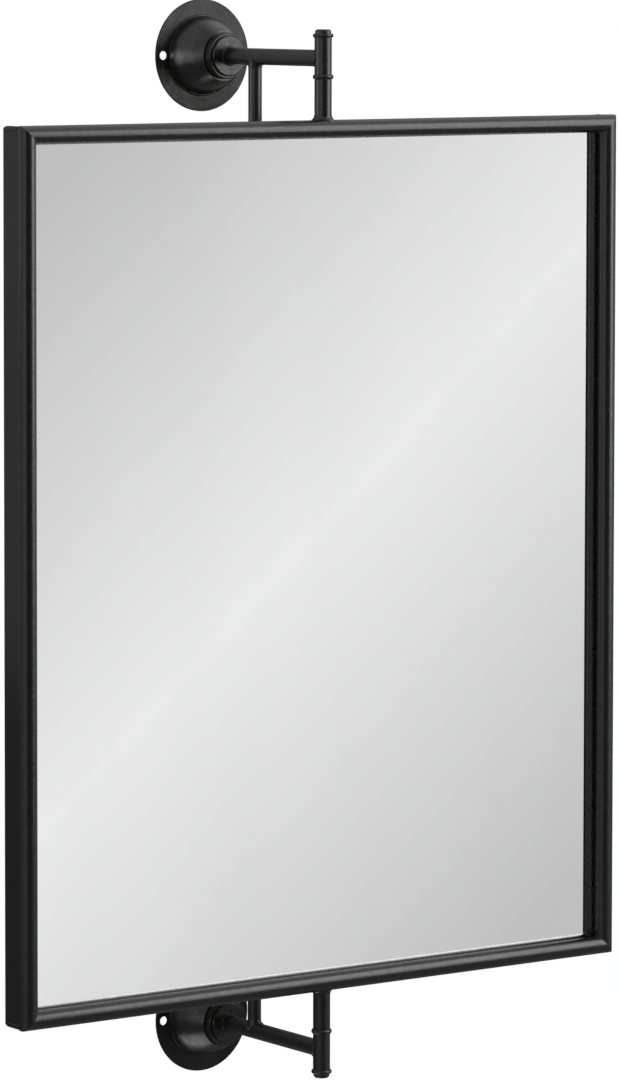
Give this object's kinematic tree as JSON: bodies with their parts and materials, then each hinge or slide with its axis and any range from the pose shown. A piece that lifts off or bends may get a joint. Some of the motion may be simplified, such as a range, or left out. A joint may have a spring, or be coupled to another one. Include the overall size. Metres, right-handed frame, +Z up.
{
  "type": "pivot wall mirror",
  "caption": "Rectangular mirror in a tube frame that turns left and right on two pivots held off the wall by arms on round wall plates.",
  "frame": {"origin": "on the wall plane, midway between the two wall plates: the centre of the four wall screw holes", "axes": "+Z up along the pivot line, +Y into the wall, +X to the right of someone facing the mirror"},
  "size_m": [0.635, 0.2005, 0.966],
  "materials": {
    "frame_paint": "satin black paint",
    "bracket_paint": "satin black paint",
    "mirror_glass": "silvered glass",
    "backing_board": "raw fibreboard",
    "zinc_steel": "zinc plated",
    "nylon": "moulded nylon"
  },
  "bodies": {
    "wall_bracket": {"top_joint_ring": "bracket_paint", "top_barrel": "bracket_paint", "top_bush": "nylon", "top_end_ring": "bracket_paint", "top_cap": "bracket_paint", "top_arm": "bracket_paint", "top_arm_plug": "zinc_steel", "top_arm_screw": "zinc_steel", "top_hub": "bracket_paint", "top_wall_plate": "bracket_paint", "bottom_joint_ring": "bracket_paint", "bottom_barrel": "bracket_paint", "bottom_bush": "nylon", "bottom_end_ring": "bracket_paint", "bottom_cap": "bracket_paint", "bottom_arm": "bracket_paint", "bottom_arm_plug": "zinc_steel", "bottom_arm_screw": "zinc_steel", "bottom_hub": "bracket_paint", "bottom_wall_plate": "bracket_paint", "rear_rod": "bracket_paint"},
    "mirror": {"top_rail_tube": "frame_paint", "bottom_rail_tube": "frame_paint", "left_stile_tube": "frame_paint", "right_stile_tube": "frame_paint", "top_rail_band": "frame_paint", "bottom_rail_band": "frame_paint", "left_stile_band": "frame_paint", "right_stile_band": "frame_paint", "mirror_glass": "mirror_glass", "backing_board": "backing_board", "board_clips": "frame_paint", "clip_screws": "zinc_steel", "top_post": "frame_paint", "top_pivot_pin": "zinc_steel", "bottom_post": "frame_paint", "bottom_pivot_pin": "zinc_steel"}
  },
  "joints": [
    {"name": "mirror_swivel", "type": "hinge", "parent": "wall_bracket", "child": "mirror", "pos_m": [0, -0.185, 0], "axis": [0, 0, 1], "range_deg": [-32, 32]}
  ]
}
